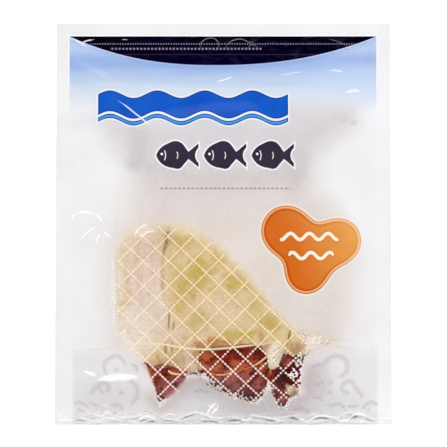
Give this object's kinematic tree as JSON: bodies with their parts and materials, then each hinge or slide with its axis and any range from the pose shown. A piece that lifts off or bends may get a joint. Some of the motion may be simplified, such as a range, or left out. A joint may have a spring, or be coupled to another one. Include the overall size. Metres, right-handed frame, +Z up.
{
  "type": "sealed pouch of dried squid",
  "caption": "Flat sealed film pouch of dried squid lying on its back, with a frosted printed front, a clear window and a folded bottom gusset.",
  "frame": {"origin": "on the floor under the middle of the pouch's outline", "axes": "+X across the pouch to the right of its printed side, +Y towards its top seal, +Z up out of the printed side"},
  "size_m": [0.2524, 0.3, 0.0156],
  "materials": {
    "film": "thin glossy film, milky where printed white and clear at the window",
    "print": "opaque printed inks under the film's gloss",
    "squid": "dry translucent flesh with fine fibres and a dull waxy sheen",
    "arms": "dark wrinkled dried skin with small suckers"
  },
  "bodies": {
    "root": {"pouch": "film"}
  },
  "joints": []
}
